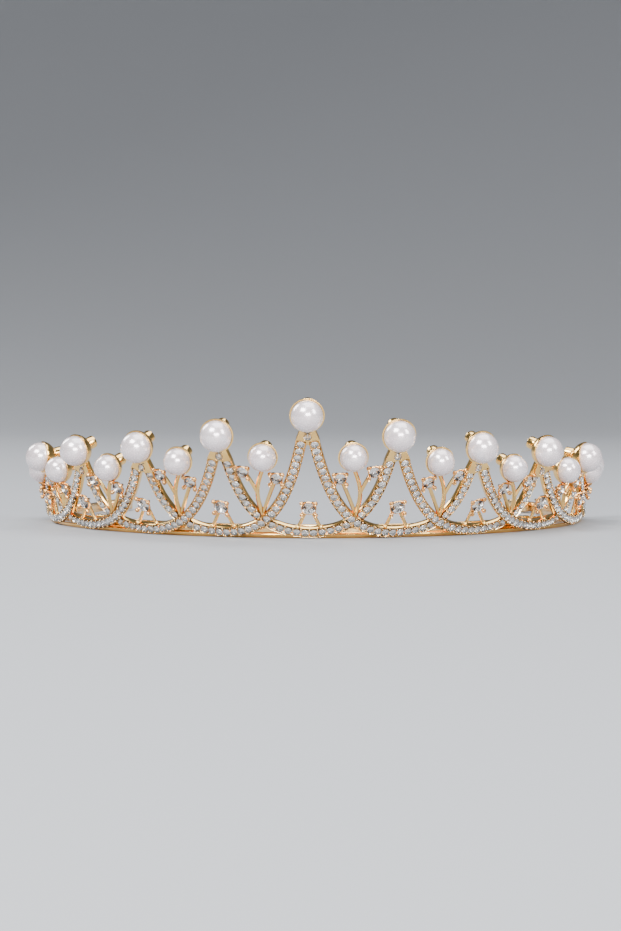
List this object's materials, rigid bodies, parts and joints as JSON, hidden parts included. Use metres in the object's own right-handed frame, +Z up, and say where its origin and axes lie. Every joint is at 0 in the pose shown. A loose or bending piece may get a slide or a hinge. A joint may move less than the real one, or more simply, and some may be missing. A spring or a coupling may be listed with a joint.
{
  "type": "bridal crown",
  "caption": "Open headband crown of interlaced swag ribbons that rise in pairs to pearl tips, with pearl sprigs and claw set stones between them, clipped to a horseshoe strip headband.",
  "frame": {"origin": "on the surface that the crown rests on, under the middle of the base rail's front", "axes": "+X towards the wearer's left, which is the right as seen from the front, +Y from the front towards the open back, +Z up from the resting surface"},
  "size_m": [0.1668, 0.1203, 0.0372],
  "materials": {
    "gold_casting": "polished pale gold plate",
    "gold_strip": "mirror polished gold plate",
    "gold_clip": "bright yellow gold plate",
    "pearl": "pearl lustre, white with a rosy tinge",
    "rhinestone": "faceted clear crystal with a foil back"
  },
  "bodies": {
    "root": {"headband": "gold_strip", "crown_frame": "gold_casting", "clip_front_left": "gold_clip", "clip_front_right": "gold_clip", "clip_end_left": "gold_clip", "clip_end_right": "gold_clip", "pearl_tip_middle": "pearl", "pearl_tip_left_1": "pearl", "pearl_sprig_left_1": "pearl", "pearl_tip_left_2": "pearl", "pearl_sprig_left_2": "pearl", "pearl_tip_left_3": "pearl", "pearl_sprig_left_3": "pearl", "pearl_tip_left_4": "pearl", "pearl_sprig_left_4": "pearl", "pearl_tip_left_5": "pearl", "pearl_sprig_left_5": "pearl", "pearl_tip_right_1": "pearl", "pearl_sprig_right_1": "pearl", "pearl_tip_right_2": "pearl", "pearl_sprig_right_2": "pearl", "pearl_tip_right_3": "pearl", "pearl_sprig_right_3": "pearl", "pearl_tip_right_4": "pearl", "pearl_sprig_right_4": "pearl", "pearl_tip_right_5": "pearl", "pearl_sprig_right_5": "pearl", "base_stone_middle": "rhinestone", "base_stone_left_1": "rhinestone", "base_stone_left_2": "rhinestone", "base_stone_left_3": "rhinestone", "base_stone_left_4": "rhinestone", "sprig_stones_left": "rhinestone", "base_stone_right_1": "rhinestone", "base_stone_right_2": "rhinestone", "base_stone_right_3": "rhinestone", "base_stone_right_4": "rhinestone", "sprig_stones_right": "rhinestone"}
  },
  "joints": []
}
